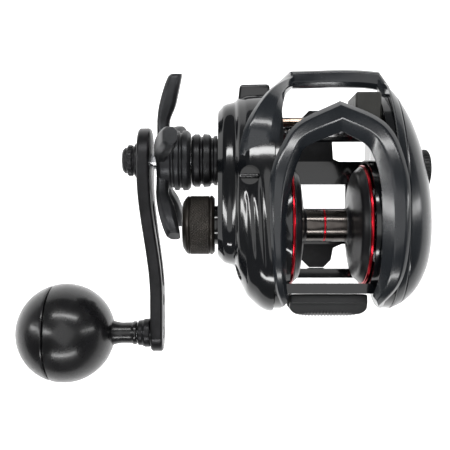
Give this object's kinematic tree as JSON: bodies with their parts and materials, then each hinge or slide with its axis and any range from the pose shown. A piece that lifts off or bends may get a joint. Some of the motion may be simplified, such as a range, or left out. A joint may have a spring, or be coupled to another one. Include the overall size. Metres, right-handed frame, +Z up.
{
  "type": "baitcasting reel",
  "caption": "Low-profile baitcasting fishing reel with a ball-knob crank, star drag, level wind and open spool under a pointed hood.",
  "frame": {"origin": "underside of the reel foot, below the middle of the spool", "axes": "+X to the palm side along the spool's axis, +Y to the front where the line leaves, +Z up from the foot"},
  "size_m": [0.1388, 0.1073, 0.0573],
  "materials": {
    "gloss_black": "deep gloss black lacquer",
    "slate": "gloss black with a slate cast",
    "satin_black": "black anodised, satin",
    "knob_black": "semi-gloss black",
    "knurled_brown_black": "fine diamond knurl",
    "charcoal": "matte, fine ribs",
    "spool_anodised": "black anodised with red rims",
    "olive_grey": "matte",
    "bronze": "polished bronze-brown",
    "brass": "machined",
    "bright_steel": "ground",
    "carbon": "woven carbon friction disc",
    "ceramic": "polished"
  },
  "bodies": {
    "frame": {"frame": "gloss_black", "reel_foot": "satin_black", "foot_screw_1": "bright_steel", "foot_screw_2": "bright_steel", "foot_screw_3": "bright_steel", "foot_screw_4": "bright_steel", "gear_side_cover": "gloss_black", "cover_screw_1": "bright_steel", "cover_screw_2": "bright_steel", "cover_screw_3": "bright_steel", "palm_side_cover": "gloss_black", "hood": "slate", "nose_bow": "slate", "spool_bearing_gear_side": "bright_steel", "spool_bearing_palm_side": "bright_steel", "yoke_post_upper": "bright_steel", "yoke_post_lower": "bright_steel", "drive_shaft_bearing": "bright_steel", "bearing_housing": "satin_black", "one_way_bearing": "bright_steel", "end_shim": "bronze", "guide_bar": "bronze", "worm_guard": "satin_black"},
    "crank": {"handle_arm": "satin_black", "handle_nut": "satin_black", "knob_spindle": "bright_steel", "spindle_collar": "satin_black", "drive_shaft": "bright_steel", "main_gear": "brass", "drive_plate": "bright_steel", "drag_washer": "carbon", "pressure_plate": "bright_steel", "bearing_sleeve": "bright_steel", "levelwind_drive_gear": "brass"},
    "knob": {"handle_knob": "knob_black", "knob_cap": "knob_black", "knob_bearing": "bright_steel"},
    "star": {"star_drag": "satin_black"},
    "spool": {"spool": "spool_anodised", "spool_shaft": "bright_steel", "spool_pin": "bright_steel"},
    "yoke": {"yoke": "bright_steel", "yoke_spring_upper": "bright_steel", "yoke_spring_lower": "bright_steel"},
    "pinion": {"pinion_gear": "brass"},
    "clutch_cam": {"clutch_cam": "bright_steel"},
    "thumb_bar": {"thumb_bar": "charcoal"},
    "cast_control": {"tension_knob": "knurled_brown_black"},
    "brake_dial": {"brake_dial": "charcoal"},
    "magnets": {"magnet_holder": "charcoal", "magnet_ring": "bright_steel"},
    "worm": {"worm_shaft": "bright_steel", "worm_gear": "brass"},
    "line_guide": {"line_guide": "olive_grey", "line_guide_insert": "ceramic", "level_wind_pawl": "brass"}
  },
  "joints": [
    {"name": "crank_turn", "type": "hinge", "parent": "frame", "child": "crank", "pos_m": [0, 0.022, 0.0205], "axis": [1, 0, 0], "continuous": true},
    {"name": "knob_spin", "type": "hinge", "parent": "crank", "child": "knob", "pos_m": [0, -0.0368, 0.0205], "axis": [1, 0, 0], "continuous": true},
    {"name": "star_turn", "type": "hinge", "parent": "crank", "child": "star", "pos_m": [0, 0.022, 0.0205], "axis": [1, 0, 0], "range_deg": [-360, 360]},
    {"name": "spool_spin", "type": "hinge", "parent": "frame", "child": "spool", "pos_m": [0, 0, 0.0254], "axis": [1, 0, 0], "continuous": true},
    {"name": "thumb_bar_press", "type": "slide", "parent": "frame", "child": "thumb_bar", "axis": [0, 0, -1], "range_m": [0, 0.004], "stiffness_N_per_m": 300, "springref_m": -0.001},
    {"name": "yoke_slide", "type": "slide", "parent": "frame", "child": "yoke", "axis": [-1, 0, 0], "range_m": [0, 0.002]},
    {"name": "pinion_spin", "type": "hinge", "parent": "yoke", "child": "pinion", "pos_m": [0, 0, 0.0254], "axis": [1, 0, 0], "continuous": true},
    {"name": "clutch_cam_turn", "type": "hinge", "parent": "frame", "child": "clutch_cam", "pos_m": [0, 0, 0.0254], "axis": [1, 0, 0], "range_deg": [0, 11.5]},
    {"name": "cast_control_turn", "type": "hinge", "parent": "frame", "child": "cast_control", "pos_m": [0, 0, 0.0254], "axis": [1, 0, 0], "range_deg": [-180, 180]},
    {"name": "brake_dial_turn", "type": "hinge", "parent": "frame", "child": "brake_dial", "pos_m": [0, 0.0184, 0.027], "axis": [1, 0, 0], "range_deg": [0, 270]},
    {"name": "magnet_slide", "type": "slide", "parent": "frame", "child": "magnets", "axis": [-1, 0, 0], "range_m": [0, 0.0014]},
    {"name": "worm_spin", "type": "hinge", "parent": "frame", "child": "worm", "pos_m": [0, 0.0325, 0.01523], "axis": [1, 0, 0], "continuous": true},
    {"name": "line_guide_slide", "type": "slide", "parent": "frame", "child": "line_guide", "axis": [-1, 0, 0], "range_m": [0, 0.02]}
  ],
  "couplings": [
    {"joint": "spool_spin", "follows": "crank_turn", "ratio": -5.4},
    {"joint": "pinion_spin", "follows": "crank_turn", "ratio": -5.4},
    {"joint": "worm_spin", "follows": "crank_turn", "ratio": -0.74074},
    {"joint": "yoke_slide", "follows": "thumb_bar_press", "ratio": 0.5},
    {"joint": "clutch_cam_turn", "follows": "thumb_bar_press", "rad_per_m": 50},
    {"joint": "brake_dial_turn", "follows": "magnet_slide", "rad_per_m": 3362.6}
  ]
}
